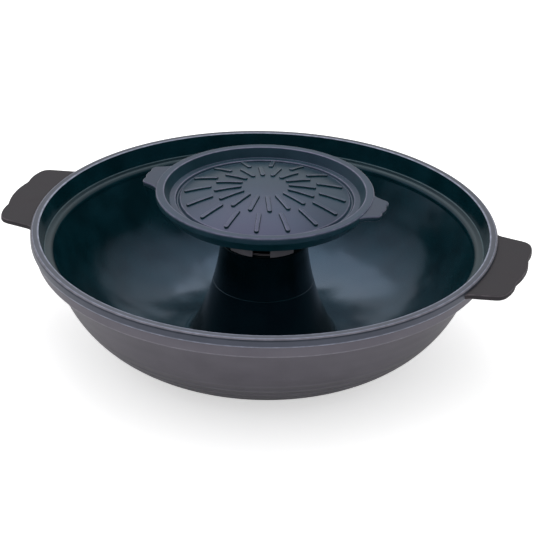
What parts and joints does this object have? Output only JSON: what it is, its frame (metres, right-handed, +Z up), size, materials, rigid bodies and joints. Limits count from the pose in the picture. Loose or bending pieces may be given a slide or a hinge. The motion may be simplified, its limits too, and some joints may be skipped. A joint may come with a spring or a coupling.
{
  "type": "hot pot grill combo",
  "caption": "Wide shallow cast hot pot with an open chimney at its centre, and a small round ribbed grill plate that stands over the chimney on a vent ring.",
  "frame": {"origin": "centre of the foot, on the surface that the pot stands on", "axes": "+Z up along the chimney; +X towards one lifting lug of the pot, which is the lug at the right in the picture"},
  "size_m": [0.3786, 0.33, 0.1229],
  "materials": {
    "coated_casting": "die-cast aluminium, dark glossy non-stick coating inside and grey matt coating outside",
    "coated_tube": "drawn aluminium tube with the same dark glossy non-stick coating",
    "bare_casting": "bare cast aluminium, shot-blasted and matt",
    "coated_plate": "die-cast aluminium with a grey satin non-stick coating"
  },
  "bodies": {
    "pot": {"pot_bowl": "coated_casting", "chimney": "coated_tube"},
    "ring": {"vent_ring": "bare_casting"},
    "plate": {"grill_plate": "coated_plate"}
  },
  "joints": [
    {"name": "ring_turn", "type": "hinge", "parent": "pot", "child": "ring", "pos_m": [0, 0, 0.0806], "axis": [0, 0, 1], "continuous": true},
    {"name": "plate_lift", "type": "slide", "parent": "ring", "child": "plate", "axis": [0, 0, 1], "range_m": [0, 0.06]}
  ]
}
